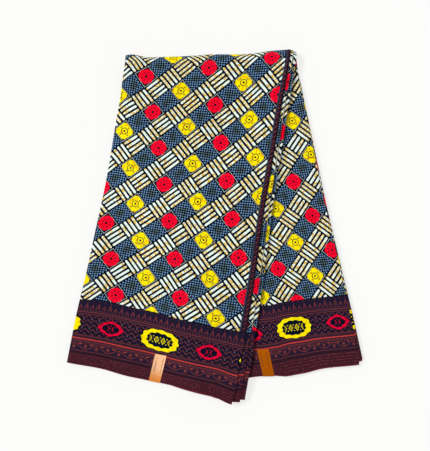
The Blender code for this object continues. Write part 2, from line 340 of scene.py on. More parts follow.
# %% Plies that show
Ply = namedtuple("Ply", "depth left front_right back_right front_end back_end")
STRETCHES = {
    "outer_sheet": [
        Ply(
            0.35, (0, 2),
            ((0, 21.5), (0.06, 19), (0.25, 14.5), (0.5, 13.3), (0.72, 11.2), (1, 10.2)),
            ((0, 4), (1, 8)),
            ((0, 0), (1, 0)), ((0, 2), (1, 5)),
        )
    ],
    "side_pleat_a": [
        Ply(
            depth, (1.5, 2.5),
            ((0, 10), (0.12, 9), (0.25, 7), (0.5, 5.5), (1, 6)), ((0, 3), (1, 5)),
            ((0, 2.5), (0.5, 2), (0.66, -2), (0.83, -1.5), (0.91, 4), (1, 8 + more)),
            ((0, 4 + more), (1, 8)),
        )
        for depth, more in ((1.75, 0), (3.6, 1.6))
    ],
    "side_pleat_b": [
        Ply(
            depth, (2.5, 2),
            ((0, 2.5), (0.15, 0.8), (0.4, 0), (1, 0)), ((0, 2), (1, 2)),
            ((0, 4), (0.6, 3), (0.9, 7), (1, 12.5 + more)), ((0, 3 + more), (1, 6)),
        )
        for depth, more in ((4.15, 0), (5.95, 1.8))
    ],
    "inner_sheet": [
        Ply(
            10.7, (2, 0.5),
            ((0, 4), (1, 1)), ((0, 2.6), (0.016, 0.3), (0.05, 0), (1, 0)),
            ((0, 1.5), (1, 15)), ((0, 0), (1, 0)),
        )
    ],
}
print("plies that show:", ", ".join(f"{name} {len(plies)}" for name, plies in STRETCHES.items()))

# %% Plies inside the stack
HIDDEN_DEPTHS = (6.5, 10)
HIDDEN_COUNT = PLIES - sum(len(plies) for plies in STRETCHES.values())
loose = random.Random(18)
RIGHT_FOLDS = [loose.uniform(-1, 1) for _ in range(HIDDEN_COUNT // 2)]  # how far each has slipped in


def hidden_ply(number):
    """A ply inside the stack. Of the folds at its right, those that stick out further end higher."""
    share, fold = number / (HIDDEN_COUNT - 1), RIGHT_FOLDS[number // 2]
    slip = [loose.uniform(-1, 1) for _ in range(3)]
    return Ply(
        HIDDEN_DEPTHS[0] + (HIDDEN_DEPTHS[1] - HIDDEN_DEPTHS[0]) * share,
        (1.6 + slip[0], 1.6 + slip[0]),
        ((0, 4.5 + fold), (1, 2 + fold)),
        ((0, -4.4 + 2 * fold), (0.08, -4.2 + 1.6 * fold), (0.3, -2 + fold), (0.9, -1 + fold), (1, 1.5)),
        ((0, 4 + 1.4 * slip[1]), (0.5, 3.5 + 1.4 * slip[1]), (0.9, 10 + slip[1]), (1, 15)),
        ((0, 3 + 1.4 * slip[2]), (0.85, 3.6 + 1.4 * slip[2]), (1, 7 - 4 * fold)),
    )


STRETCHES["hidden_plies"] = [hidden_ply(number) for number in range(HIDDEN_COUNT)]
ORDER = ["outer_sheet", "side_pleat_a", "side_pleat_b", "hidden_plies", "inner_sheet"]
ALL_PLIES = [ply for name in ORDER for ply in STRETCHES[name]]
print(len(ALL_PLIES), "plies, of which", HIDDEN_COUNT, "hidden")

# %% [markdown]
# ## How the print lies on the folds
#
# The print knows nothing of the folds, but it has to lie on them. A selvedge waves, because the
# cloth's first two centimetres are eased in here and let out there. The border's lines above it run
# almost level, and a fanned half is let out on one side. So the two faces that show have tables of
# where the border's bright line and its top edge come, in mm up the panel. Every other ply simply
# counts from its own selvedge.

# %% Print on the folds
LINE_UP = 47.2  # the border's bright line, in mm up the print
BORDER = 118
EASE = 22
FRONT_STRETCH = (1.05, 0.97)  # the pleats are fanned, so the print is a little longer at the left
FRONT_LINE = ((0, 45.8), (0.2, 46.4), (0.36, 48.6), (0.62, 45.2), (0.8, 47.2), (0.93, 49.8), (1, 50))
FRONT_TOP = ((0, 112), (0.12, 117), (0.4, 119), (0.58, 115.5), (0.8, 117), (0.92, 124), (1, 127))
BACK_LINE = ((0, 48), (0.42, 47.8), (0.6, 55.6), (0.8, 52.8), (1, 52.7))
BACK_TOP = ((0, 124), (0.46, 124.5), (0.63, 128.5), (0.8, 124.2), (1, 123))


def on_print(place, own_end, line, border_top, length, total):
    """Millimetres up the print for a place up the panel, with straight runs between known lines."""
    known = (
        (own_end, 0), (line - LINE_UP + EASE, EASE), (line, LINE_UP), (border_top, BORDER),
        (length, total),
    )
    return straight(known, place)


def print_up(across, path, number):
    """Cloth between the front selvedge and this address, measured on the print."""
    ply = ALL_PLIES[number]
    share = min(max(across, 0), 1)
    front, back = half_length(FRONT, across) / MM, half_length(BACK, across) / MM
    total = front * (FRONT_STRETCH[0] + (FRONT_STRETCH[1] - FRONT_STRETCH[0]) * across)
    if path <= 1:
        own = eased(ply.front_end, share)
        line, border_top = own + LINE_UP, own + BORDER
        if number == 0:
            line, border_top = eased(FRONT_LINE, share), eased(FRONT_TOP, share)
        return on_print(path * front, own, line, border_top, front, total) * MM
    if path >= 2:
        own = eased(ply.back_end, share)
        line, border_top = own + LINE_UP, own + BORDER
        if number == PLIES - 1:
            line, border_top = eased(BACK_LINE, share), eased(BACK_TOP, share)
        return CLOTH_WIDTH - on_print((3 - path) * back, own, line, border_top, back, back) * MM
    return (total + (CLOTH_WIDTH / MM - back - total) * (path - 1)) * MM


for number, half in ((0, "front"), (PLIES - 1, "back")):
    path = 0.5 if half == "front" else 2.5
    print(f"halfway along the {half} half the print is {print_up(0.5, path, number):.3f} m up")

# %% [markdown]
# ## Weaving the mesh
#
# A stretch of cloth is a grid: rows follow the path from selvedge to selvedge, and each row is one
# cross-section through the accordion. A cross-section is written as a list of short steps: across
# one ply, round a side fold, across the next ply. The same list gives the print's coordinate, which
# is simply the distance walked along the cloth.
#
# Plies lie a third of a millimetre apart, so they must bend in the same places, or they would cut
# through each other. That is why all of them share one grid of rows and columns. Only near an edge
# does the grid give way, to end where that ply ends. Two plies that meet in a fold share its place.
# A bent four-sided face could also be cut into triangles either way, and neighbours that run in
# opposite directions would be cut differently. So each cell is cut here, along its shorter diagonal.
#
# The grid is a single skin. The Solidify modifier then gives it cotton's real thickness, and is
# applied, so the finished mesh is a closed sheet.

# %% Where a ply's sides and ends are
EDGE_REACH = 60 * MM  # how near to an edge the common grid gives way


def side_margin(ply, side, path):
    """Millimetres that a ply's side is in from the panel's, at a place on its path."""
    if side == "left":
        front, back = ply.left
        return front if path <= 1 else back if path >= 2 else front + (back - front) * (path - 1)
    if path <= 1:
        return eased(ply.front_right, path)
    if path >= 2:
        return eased(ply.back_right, 3 - path)
    start, stop = ply.front_right[-1][1], ply.back_right[-1][1]
    return start + (stop - start) * (path - 1)


def exit_side(number):
    """Even plies run to the left, odd plies to the right."""
    return "left" if number % 2 == 0 else "right"


def margin_at(number, side, path):
    """A ply's margin at a side. Where it comes out of a fold, it is that of the ply before it."""
    folded = number > 0 and side != exit_side(number)
    return side_margin(ALL_PLIES[number - 1 if folded else number], side, path) * MM


def drawn_in(place, inset):
    """A distance from the panel's edge, moved near that edge so that the grid ends an inset in."""
    return place + inset * max(0, 1 - place / EDGE_REACH)


print(f"at its selvedge, the outer sheet ends {margin_at(0, 'right', 0) / MM:.1f} mm in from the right")

# %% Cross-section of a stretch
COLUMNS = 32
FOLD_STEPS = 6
FOLD_IN, FOLD_OUT = (115, 135, 155), (25, 45, 65)  # degrees round a fold that two stretches share
Step = namedtuple("Step", "ply share turn")  # turn is 0 on the flat, or degrees round a fold


def cross_section(first, last):
    """The steps across plies first to last, with half folds where a neighbour stretch goes on."""
    steps = []
    if first > 0:
        steps += [Step(first - 1, 1, turn) for turn in FOLD_IN]
    for number in range(first, last + 1):
        steps += [Step(number, k / COLUMNS, 0) for k in range(COLUMNS + 1)]
        if number < last:
            steps += [Step(number, 1, 180 * k / FOLD_STEPS) for k in range(1, FOLD_STEPS)]
    if last < PLIES - 1:
        steps += [Step(last, 1, turn) for turn in FOLD_OUT]
    return steps


def address(step, path):
    """Share across the panel and depth, for a step of the cross-section."""
    depth, side = ALL_PLIES[step.ply].depth, exit_side(step.ply)
    if step.turn:
        radius, swing = (ALL_PLIES[step.ply + 1].depth - depth) / 2, math.radians(step.turn)
        place = margin_at(step.ply, side, path) - radius * MM * math.sin(swing)
        depth += radius * (1 - math.cos(swing))
    else:
        to_exit = (1 - step.share) * FOLD_LINE
        if step.share < 0.5:
            side = "right" if side == "left" else "left"
            to_exit = FOLD_LINE - to_exit
        place = drawn_in(to_exit, margin_at(step.ply, side, path))
    return (place if side == "left" else FOLD_LINE - place) / FOLD_LINE, depth


def path_number(row, across, ply):
    """A row's path number, with the rows near a selvedge drawn in to the ply's own end."""
    share = min(max(across, 0), 1)
    if row <= 1:
        length = half_length(FRONT, share)
        return drawn_in(row * length, eased(ply.front_end, share) * MM) / length
    if row >= 2:
        length = half_length(BACK, share)
        return 3 - drawn_in((3 - row) * length, eased(ply.back_end, share) * MM) / length
    return row


print("steps across the outer sheet:", len(cross_section(0, 0)))

# %% Rows from selvedge to selvedge
SELVEDGE_ROWS = [0, 0.004, 0.012, 0.026, 0.045]
HALF_FROM, HALF_ROWS, TURN_ROWS = 0.07, 30, 12


def spaced(start, stop, count):
    """Evenly spaced numbers, both ends included."""
    return [start + (stop - start) * k / count for k in range(count + 1)]


def row_numbers():
    """Path numbers of the rows: close together at the selvedges and round the turn."""
    front = SELVEDGE_ROWS + spaced(HALF_FROM, 1, HALF_ROWS)
    turn = spaced(1, 2, TURN_ROWS)[1:-1]
    return front + turn + [3 - row for row in reversed(front)]


print("rows from selvedge to selvedge:", len(row_numbers()))

# %% A sheet from rows of points
COTTON = 0.28 * MM
PRESSED = 0.15 * MM  # cotton inside the stack, under the weight of the rest
SHARP = math.radians(40)


def finish_mesh(piece, thickness):
    """Gives a skin its thickness, applies it and shades it."""
    solid = piece.modifiers.new("thickness", "SOLIDIFY")
    solid.thickness = thickness
    solid.offset = 0
    bpy.context.view_layer.objects.active = piece
    with bpy.context.temp_override(object=piece, active_object=piece):
        bpy.ops.object.modifier_apply(modifier=solid.name)
    piece.data.shade_smooth()
    piece.data.set_sharp_from_angle(angle=SHARP)


def grid_piece(name, points, prints, thickness):
    """A piece from rows of points, with the print's coordinates, in metres, as its UV map."""
    columns = len(points[0])
    faces = []
    for j, (row, following) in enumerate(zip(points, points[1:])):
        for i in range(columns - 1):
            a, b = j * columns + i, j * columns + i + 1
            c, d = b + columns, a + columns
            falling, rising = (row[i] - following[i + 1]).length, (row[i + 1] - following[i]).length
            faces += [(a, b, c), (a, c, d)] if falling < rising else [(a, b, d), (b, c, d)]
    mesh = bpy.data.meshes.new(name)
    mesh.from_pydata([point for row in points for point in row], [], faces)
    flat = [value for row in prints for value in row]
    layer = mesh.uv_layers.new(name="print")
    for loop in mesh.loops:
        layer.data[loop.index].uv = flat[loop.vertex_index]
    piece = bpy.data.objects.new(name, mesh)
    scene.collection.objects.link(piece)
    finish_mesh(piece, thickness)
    return piece


print(f"cotton is {COTTON / MM:.2f} mm thick, and {PRESSED / MM:.2f} mm inside the stack")

# %% [markdown]
# ## Stretches with their print
#
# The print's coordinate along the cloth is the distance walked from its cut end. The stretches are
# separate meshes, so each can start its print a little further on, where that suits the narrow strip
# that shows of it. The outer sheet counts from its own cut end, which has the heading.

# %% Build the stretches of cloth
# Which way the print runs on a stretch, and where it starts, by the number of its first ply. The
# second side pleat's print runs against the first one's.
PRINT_RUNS = {1: (1, -20 * MM), 3: (-1, 6 * PLY_WIDTH + 51.5 * MM)}
FOLD_SHARE = 0.004  # how much of a ply's width goes into a side fold


def print_across(step, across, edge, first):
    """The print's coordinate along the cloth's length, counted from the outer sheet's cut end."""
    if first == 0:
        return (edge - across) * FOLD_LINE
    walked = (1 - across) if step.ply % 2 == 0 else across
    if step.turn:
        walked = 1 + step.turn / 180 * FOLD_SHARE
    direction, start = PRINT_RUNS.get(first, (1, 0))
    return start + direction * (step.ply + walked) * PLY_WIDTH


def make_stretch(name, thickness=COTTON):
    """One run of plies as a closed sheet."""
    first = ALL_PLIES.index(STRETCHES[name][0])
    last = first + len(STRETCHES[name]) - 1
    steps = cross_section(first, last)
    points, prints = [], []
    for row in row_numbers():
        edge = 1 - side_margin(ALL_PLIES[0], "right", row) * MM / FOLD_LINE
        line, inks = [], []
        for step in steps:
            across, depth = address(step, row)
            path = path_number(row, across, ALL_PLIES[max(step.ply, first)])
            line.append(place_at(across, path, depth))
            inks.append((print_across(step, across, edge, first), print_up(across, path, step.ply)))
        points.append(line)
        prints.append(inks)
    piece = grid_piece("cloth_" + name, points, prints, thickness)
    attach(piece, "root")
    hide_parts(name)
    print(f"{piece.name}: {last - first + 1} plies, {len(piece.data.polygons)} faces")
    return piece


outer = make_stretch("outer_sheet")
pleat_a = make_stretch("side_pleat_a")
pleat_b = make_stretch("side_pleat_b")
hidden = make_stretch("hidden_plies", PRESSED)
inner = make_stretch("inner_sheet")

# %% [markdown]
# ## Foil stickers
#
# Each selvedge carries a narrow sticker, wrapped over the edge so that it holds on both faces. It
# could be a flat card laid on top, but a card would float over the cloth's swells. It is therefore
# made from the cloth's own points: the same addresses, moved out by the thickness of the cloth, and
# carried round the selvedge to its other side.

# %% Stickers from the cloth's own points
STICKER_LENGTH, STICKER_TUCK = 48 * MM, 9 * MM
STICKER_ROWS, TUCK_ROWS, STICKER_COLUMNS = 16, 4, 6
FOIL = 0.12 * MM
CLEARANCE = 0.45  # from the middle of the cloth to the middle of the foil, in mm


def make_sticker(name, ply, half, across, width, askew=0.0):
    """A foil strip: down the face that shows, round the selvedge, and a little way behind it."""
    outward = -1 if half is FRONT else 1
    length = half_length(half, across)
    shown = [
        (STICKER_LENGTH * (1 - k / STICKER_ROWS), outward * CLEARANCE) for k in range(STICKER_ROWS + 1)
    ]
    turned = [
        (-CLEARANCE * MM * math.sin(math.radians(a)), outward * CLEARANCE * math.cos(math.radians(a)))
        for a in (30, 60, 90, 120, 150)
    ]
    behind = [(STICKER_TUCK * k / TUCK_ROWS, -outward * CLEARANCE) for k in range(TUCK_ROWS + 1)]
    points, prints, walked, previous = [], [], 0, STICKER_LENGTH
    for inset, lift in shown + turned + behind:
        walked += abs(inset - previous)
        previous = inset
        line, marks = [], []
        for k in range(STICKER_COLUMNS + 1):
            aside = k / STICKER_COLUMNS * width
            share = across + (aside + askew * max(inset, 0)) / FOLD_LINE
            edge = eased(ply.front_end if half is FRONT else ply.back_end, share) * MM
            along = (inset + edge) / length
            path = along if half is FRONT else 3 - along
            line.append(place_at(share, path, ply.depth + lift))
            marks.append((aside, walked))
        points.append(line)
        prints.append(marks)
    piece = grid_piece("sticker_" + name, points, prints, FOIL)
    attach(piece, "root")
    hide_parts("label_" + name)
    print(f"{piece.name}: {walked / MM:.0f} mm of foil, {len(piece.data.polygons)} faces")
    return piece


sticker_front = make_sticker("front", ALL_PLIES[0], FRONT, across=0.459, width=18.5 * MM, askew=0.07)
sticker_back = make_sticker("back", ALL_PLIES[-1], BACK, across=0.391, width=21 * MM)

# %% [markdown]
# ## The cut size of each stretch
#
# Each stretch's size if it were unfolded is printed: its number of plies times the ply's width, and
# the full width of the cloth. Together they are the whole six-yard piece.

for piece, plies, under in (
    (outer, 1, []),
    (pleat_a, 2, [outer]),
    (pleat_b, 2, [pleat_a]),
    (hidden, HIDDEN_COUNT, [pleat_b]),
    (inner, 1, [hidden]),
):
    plies * PLY_WIDTH
    print(f"{piece.name}: cut {plies * PLY_WIDTH:.2f} by {CLOTH_WIDTH:.2f} m")

# %% [markdown]
# ## Drawing with sums
#
# The print is drawn with arithmetic instead of a picture, so it stays sharp at any distance. A
# shader adds up numbers with Math nodes, which are slow to read when there are hundreds. The small
# class below lets a formula be written as a formula: every +, - or * adds one Math node.

# %% A socket that can be added and multiplied
class Ink:
    """A value or colour on its way through a node tree."""

    def __init__(self, tree, socket):
        self.tree, self.socket = tree, socket

    def sum(self, operation, *others):
        """Adds one Math node, and gives back its result."""
        node = self.tree.nodes.new("ShaderNodeMath")
        node.operation = operation
        for place, value in enumerate((self, *others)):
            plug(self.tree, value, node.inputs[place])
        return Ink(self.tree, node.outputs[0])

    def __add__(self, other):
        return self.sum("ADD", other)

    def __sub__(self, other):
        return self.sum("SUBTRACT", other)

    def __mul__(self, other):
        return self.sum("MULTIPLY", other)

    def __truediv__(self, other):
        return self.sum("DIVIDE", other)

    def floor(self):
        """The whole number at or below the value."""
        return self.sum("FLOOR")

    def within(self):
        """The part after the decimal point."""
        return self.sum("FRACT")

    def size(self):
        """The value without its sign."""
        return self.sum("ABSOLUTE")

    def under(self, limit):
        """1 where the value is below a limit, and 0 elsewhere."""
        return self.sum("LESS_THAN", limit)

    def over(self, limit):
        """1 where the value is above a limit, and 0 elsewhere."""
        return self.sum("GREATER_THAN", limit)

    def power(self, exponent):
        return self.sum("POWER", exponent)

    def wave(self):
        """One full wave, from -1 to 1, for each whole number."""
        return (self * math.tau).sum("SINE")

    def odd(self):
        """1 where a whole number is odd, and 0 where it is even."""
        return (self / 2).within().over(0.25)


print("an Ink can do:", ", ".join(name for name in vars(Ink) if not name.startswith("_")))


# %% Masks and colours
def plug(tree, value, socket):
    """Links an Ink to a socket, or types a plain number or colour into it."""
    if isinstance(value, Ink):
        tree.links.new(value.socket, socket)
    else:
        socket.default_value = value


def both(first, second):
    """A mask that is 1 where both of two masks are."""
    return first * second


def either(first, second):
    """A mask that is 1 where one of two masks is."""
    return first.sum("MAXIMUM", second)


def paint(base, mask, colour):
    """Lays a colour over a base where the mask is 1."""
    tree = (mask if isinstance(mask, Ink) else base).tree
    node = tree.nodes.new("ShaderNodeMix")
    node.data_type = "RGBA"
    plug(tree, mask, node.inputs["Factor"])
    plug(tree, base, node.inputs["A"])
    plug(tree, colour, node.inputs["B"])
    return Ink(tree, node.outputs["Result"])


def dye(red, green, blue):
    """A colour as seen on screen, 0 to 255, turned into the linear light that shaders use."""
    def linear(value):
        value /= 255
        return value / 12.92 if value <= 0.04045 else ((value + 0.055) / 1.055) ** 2.4
    return (linear(red), linear(green), linear(blue), 1)


print(f"grey 128 on the screen is {dye(128, 128, 128)[0]:.3f} in linear light")

# %% Node groups
KINDS = {"vector": "NodeSocketVector", "value": "NodeSocketFloat", "colour": "NodeSocketColor"}


def new_group(name, inputs, outputs):
    """An empty node group with named sockets, and its inputs as Inks."""
    tree = bpy.data.node_groups.new(name, "ShaderNodeTree")
    for direction, sockets in (("INPUT", inputs), ("OUTPUT", outputs)):
        for title, kind in sockets.items():
            tree.interface.new_socket(title, in_out=direction, socket_type=KINDS[kind])
    start = tree.nodes.new("NodeGroupInput")
    tree.nodes.new("NodeGroupOutput").name = "out"
    return tree, {title: Ink(tree, start.outputs[title]) for title in inputs}


def put_out(tree, **results):
    """Connects finished Inks to the group's outputs."""
    for title, ink in results.items():
        tree.links.new(ink.socket, tree.nodes["out"].inputs[title])


def use_group(tree, group, **inputs):
    """Places a group in a tree and gives back its outputs by name."""
    node = tree.nodes.new("ShaderNodeGroup")
    node.node_tree = group
    for title, value in inputs.items():
        plug(tree, value, node.inputs[title])
    return {socket.name: Ink(tree, socket) for socket in node.outputs}


print("a group's sockets can hold a", ", a ".join(KINDS))


# %% Coordinates and noise
def split(vector):
    """The first two numbers of a coordinate."""
    node = vector.tree.nodes.new("ShaderNodeSeparateXYZ")
    plug(vector.tree, vector, node.inputs[0])
    return Ink(vector.tree, node.outputs[0]), Ink(vector.tree, node.outputs[1])


def joined(x, y):
    """A coordinate from two numbers."""
    tree = (x if isinstance(x, Ink) else y).tree
    node = tree.nodes.new("ShaderNodeCombineXYZ")
    plug(tree, x, node.inputs[0])
    plug(tree, y, node.inputs[1])
    return Ink(tree, node.outputs[0])


def cloud(vector, scale, detail=2.0):
    """Soft noise from 0 to 1."""
    node = vector.tree.nodes.new("ShaderNodeTexNoise")
    node.noise_dimensions = "2D"
    plug(vector.tree, vector, node.inputs["Vector"])
    node.inputs["Scale"].default_value = scale
    node.inputs["Detail"].default_value = detail
    return Ink(vector.tree, node.outputs["Fac"])


def dice(vector):
    """A random number from 0 to 1 for each whole coordinate."""
    node = vector.tree.nodes.new("ShaderNodeTexWhiteNoise")
    node.noise_dimensions = "2D"
    plug(vector.tree, vector, node.inputs["Vector"])
    return Ink(vector.tree, node.outputs["Value"])


def ramp(value, low, high):
    """0 below low, 1 above high, and a smooth step between them."""
    node = value.tree.nodes.new("ShaderNodeMapRange")
    node.interpolation_type = "SMOOTHSTEP"
    plug(value.tree, value, node.inputs["Value"])
    node.inputs["From Min"].default_value = low
    node.inputs["From Max"].default_value = high
    return Ink(value.tree, node.outputs["Result"])


def tell(*helpers):
    """Prints what each new helper does."""
    for helper in helpers:
        print(f"{helper.__name__}: {helper.__doc__}")


tell(split, joined, cloud, dice, ramp)

# %% [markdown]
# ## What wax printing leaves in the cloth
#
# Wax-printed cotton is dyed through on both faces. Resin cracks before the indigo bath, which
# leaves fine veins, and the bright colours are printed afterwards, a little uneven. Under it all is
# a plain weave. Each effect is a group, so every stretch of cloth uses the same one.

# %% Weave, veins and uneven dye
def make_weave():
    """Over-and-under threads as a height, and slubs where a thread is thicker."""
    tree, take = new_group("plain weave", {"Print": "vector", "Thread": "value"}, {"Height": "value"})
    along, across = split(take["Print"])
    threads = (along / take["Thread"]).wave() * (across / take["Thread"]).wave()
    slub_a = cloud(joined(along * 0.06, across), 900)
    slub_b = cloud(joined(along, across * 0.06), 900)
    put_out(tree, Height=threads * 0.35 + (slub_a + slub_b) * 0.5)
    return tree


def make_veins():
    """Thin cracks in the resin: the edges of warped Voronoi cells, broken up by noise."""
    tree, take = new_group("wax veins", {"Print": "vector", "Amount": "value"}, {"Mask": "value"})
    along, across = split(take["Print"])
    bend_a = cloud(take["Print"], 120) * 0.012
    bend_b = cloud(joined(across, along), 120) * 0.012
    node = tree.nodes.new("ShaderNodeTexVoronoi")
    node.voronoi_dimensions = "2D"
    node.feature = "DISTANCE_TO_EDGE"
    node.inputs["Scale"].default_value = 95
    plug(tree, joined(along + bend_a, across + bend_b), node.inputs["Vector"])
    crack = Ink(tree, node.outputs["Distance"]).under(0.022)
    patchy = ramp(cloud(take["Print"], 45), 0.55, 0.68)
    put_out(tree, Mask=crack * patchy * take["Amount"])
    return tree


def make_unevenness():
    """How strongly the dye took, around 1."""
    tree, take = new_group("uneven dye", {"Print": "vector", "Amount": "value"}, {"Value": "value"})
    broad = cloud(take["Print"], 14, detail=3)
    fine = cloud(take["Print"], 420, detail=1)
    drift = (broad - 0.5) * 0.7 + (fine - 0.5) * 0.5
    put_out(tree, Value=drift * take["Amount"] + 1)
    return tree


WEAVE, VEINS, UNEVEN = make_weave(), make_veins(), make_unevenness()
print("shared effects:", WEAVE.name, "/", VEINS.name, "/", UNEVEN.name)

# %% [markdown]
# ## The print: a check on the bias
#
# The field is a generic check of squares laid at 45 degrees, in lines that take turns. One line is a
# basket weave: squares of white sticks brushed with ochre, upright and flat by turns. The next line
# is patches: a dark square of pin dots, then a bright one, then pin dots again. The bright ones are
# a red flower and a yellow button by turns. Each pair of lines starts one square further on, so the
# bright squares never line up across the cloth.

# %% Colours of the print
NAVY = dye(0, 13, 33)
SLATE = dye(112, 150, 192)
OLIVE = dye(94, 114, 110)
WHITE = dye(232, 244, 234)
OCHRE = dye(224, 188, 70)
YELLOW = dye(253, 238, 0)
AMBER = dye(250, 190, 0)
RED = dye(255, 0, 42)
CRIMSON = dye(236, 0, 48)
MAROON = dye(56, 23, 35)
PLUM = dye(42, 22, 36)
MIDNIGHT = dye(20, 16, 40)
RUST = dye(164, 70, 50)
DULL_RUST = dye(100, 48, 48)
ORANGE = dye(192, 60, 52)

CELL = 30 * MM
BARS = 4
DOT_PITCH = 4.1 * MM
print(f"squares of {CELL / MM:.0f} mm, with {BARS} sticks or dots {DOT_PITCH / MM:.1f} mm apart")

# %% Sticks and pin dots
STICK_RADIUS = 0.275  # as a share of the room that a stick has
STICK_REACH = 0.395  # from its middle to where its end gets round, as a share of the square


def sticks(print_at, in_p, in_q, number):
    """White sticks with round ends, brushed with ochre here and there."""
    pitch = CELL / BARS
    side = ((in_p * BARS).within() - 0.5) * pitch
    past_end = ((in_q - 0.5).size() * CELL - STICK_REACH * CELL).sum("MAXIMUM", 0)
    stick = (side * side + past_end * past_end).under((STICK_RADIUS * pitch) ** 2)
    which = (in_p * BARS).floor() + number
    dash = in_q * 3 + which * 0.37
    chosen = dice(joined(which, dash.floor())).over(0.38)
    brushed = both(chosen, (dash.within() - 0.5).size().under(0.43))
    smear = ramp(cloud(print_at, 330, detail=3), 0.4, 0.52)
    return paint(NAVY, stick, paint(WHITE, brushed * smear, OCHRE))


def pin_dots(print_at, reach):
    """Rows of dots, duller in the middle of the square, where the indigo bit twice."""
    along, across = split(print_at)
    u, v = (along / DOT_PITCH).within() - 0.5, (across / DOT_PITCH).within() - 0.5
    dot = both((u * u + v * v).under(0.105), reach.under(0.47))
    dull = ramp(reach * -1 + cloud(print_at, 90) * 0.5, -0.06, 0.12)
    return paint(NAVY, dot, paint(SLATE, dull, OLIVE))


print(f"a stick is {2 * STICK_RADIUS * CELL / BARS / MM:.1f} mm thick and",
      f"{2 * (STICK_REACH + STICK_RADIUS / BARS) * CELL / MM:.1f} mm long")

# %% Flowers and buttons
BEADS = 15


def beaded_frame(in_a, in_b, x, y, reach):
    """A row of white beads round a dark square."""
    beads_a = ((in_a * BEADS).within() - 0.5).size().under(0.24)
    beads_b = ((in_b * BEADS).within() - 0.5).size().under(0.24)
    band = both(reach.over(0.438), reach.under(0.468))
    beads = either(both(beads_a, y.size().over(0.438)), both(beads_b, x.size().over(0.438)))
    return paint(NAVY, both(band, beads), WHITE)


def flower(card, print_at, radius, angle):
    """Eight red petals round a dark eye."""
    blush = paint(RED, ramp(cloud(print_at, 240, detail=4), 0.58, 0.74), CRIMSON)
    spokes = (angle * 8).sum("COSINE")
    card = paint(card, (radius - spokes * 0.024).under(0.438), blush)
    slits = both(spokes.under(-0.72), both(radius.over(0.14), radius.under(0.3)))
    return paint(card, either(slits, radius.under(0.075)), NAVY)


def button(card, print_at, x, y, reach, radius, angle):
    """A yellow button with cut corners, a ring and four studs."""
    flame = paint(YELLOW, ramp(cloud(print_at, 210, detail=4), 0.5, 0.64), AMBER)
    card = paint(card, both(reach.under(0.41), (x.size() + y.size()).under(0.69)), flame)
    hoop = both(radius.over(0.16), radius.under(0.205))
    studs = both((angle * 4).sum("COSINE").over(0.72), both(radius.over(0.27), radius.under(0.32)))
    return paint(card, either(either(hoop, studs), radius.under(0.06)), NAVY)


print(f"{BEADS} beads run along each side of a bright square")


# %% The bias check
def make_check():
    """The field of the print."""
    tree, take = new_group("bias check", {"Print": "vector"}, {"Color": "colour"})
    print_at = take["Print"]
    wobble = (cloud(print_at, 160) - 0.5) * (0.9 * MM)
    along, across = split(print_at)
    diagonal = CELL * math.sqrt(2)
    a = (along + across + wobble) / diagonal + 0.13
    b = (along - across + wobble) / diagonal + 0.38
    column, row = a.floor(), b.floor()
    in_a, in_b = a.within(), b.within()
    x, y = in_a - 0.5, in_b - 0.5
    reach = x.size().sum("MAXIMUM", y.size())
    radius = (x * x + y * y).power(0.5)
    angle = y.sum("ARCTAN2", x)

    barred = column.odd()
    shifted = (column / 2).floor() + row
    turned = shifted.odd()
    upright = turned * -1 + 1
    in_p = in_a * turned + in_b * upright
    in_q = in_b * turned + in_a * upright
    barred_square = sticks(print_at, in_p, in_q, column * 7 + row * 13)

    frame_card = beaded_frame(in_a, in_b, x, y, reach)
    bright_square = paint(
        button(frame_card, print_at, x, y, reach, radius, angle),
        (shifted / 2).floor().odd(),
        flower(frame_card, print_at, radius, angle),
    )
    patch = paint(pin_dots(print_at, reach), upright, bright_square)
    put_out(tree, Color=paint(patch, barred, barred_square))
    return tree


CHECK = make_check()
print(CHECK.name, "has", len(CHECK.nodes), "nodes")

# %% [markdown]
# ## The print: a border along each selvedge
#
# The last twelve centimetres before each selvedge are a border of stripes: a plain dotted stripe at
# the edge, a running vine under a fringe, a bright line, a wide stripe of chevrons, a second line,
# and a row of tents that point into the field. On the chevrons lie large yellow scalloped ovals,
# with a small red lozenge between each two. The bands are listed from the selvedge up, in
# millimetres.

# %% Bands of the border
BANDS = (
    (0, 1.6, dye(104, 34, 40)), (1.6, 21, MAROON), (21, 25.4, PLUM),
    (25.4, 26.6, DULL_RUST), (26.6, 46.2, dye(40, 24, 46)), (43, 44.2, DULL_RUST),
    (46.2, 48.3, ORANGE), (48.3, 53, dye(50, 27, 46)), (53, 54.2, DULL_RUST),
    (54.2, 91, dye(26, 19, 42)), (91, 92.4, DULL_RUST), (92.4, 95, dye(36, 25, 48)),
    (95, 96.2, dye(128, 58, 52)), (96.2, 116.4, dye(30, 23, 46)), (116.4, BORDER, dye(14, 14, 34)),
)
print(len(BANDS), "bands in a border of", BORDER, "mm")


# %% Shapes that repeat
def between(value, low, high):
    """A mask for a band of values."""
    return both(value.over(low), value.under(high))


def disc(x, y, radius):
    """A mask for a round dot."""
    return (x * x + y * y).under(radius * radius)


def ring(x, y, rim, hole):
    """A mask for a ring, from the radius of its rim and that of its hole."""
    return both(disc(x, y, rim), disc(x, y, hole) * -1 + 1)


def repeat(x, gap, start=0.0):
    """Distance from the middle of the nearest repeat."""
    return ((x / gap + start).within() - 0.5) * gap


tell(between, disc, ring, repeat)


